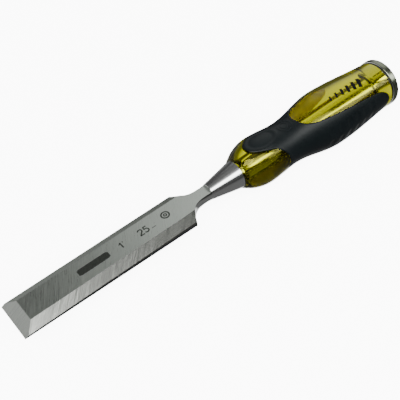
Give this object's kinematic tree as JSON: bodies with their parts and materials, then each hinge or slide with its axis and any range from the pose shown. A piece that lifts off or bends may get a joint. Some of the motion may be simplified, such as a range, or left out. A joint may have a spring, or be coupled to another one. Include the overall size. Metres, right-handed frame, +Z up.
{
  "type": "bench chisel",
  "caption": "Bevel-edged bench chisel: flat-backed blade forged with its tang, waisted two-material handle and a steel strike cap for paring and mallet work in wood.",
  "frame": {"origin": "under the middle of the tool, at the lowest point of the handle, on the plane that splits the tool left from right", "axes": "+X from the cutting edge to the strike cap, +Y across the blade, +Z up, on the bevelled side of the blade"},
  "size_m": [0.2546, 0.0352, 0.0352],
  "materials": {
    "ground_steel": "lengthwise and cross ground blade, polished bolster",
    "amber_plastic": "translucent yellow, glossy",
    "grip_rubber": "satin soft-touch",
    "gasket_rubber": "satin",
    "plated_steel": "polished plating"
  },
  "bodies": {
    "root": {"blade_forging": "ground_steel", "handle_core": "amber_plastic", "rubber_grip": "grip_rubber", "tang_washer": "plated_steel", "cap_gasket": "gasket_rubber", "strike_cap": "plated_steel"}
  },
  "joints": []
}
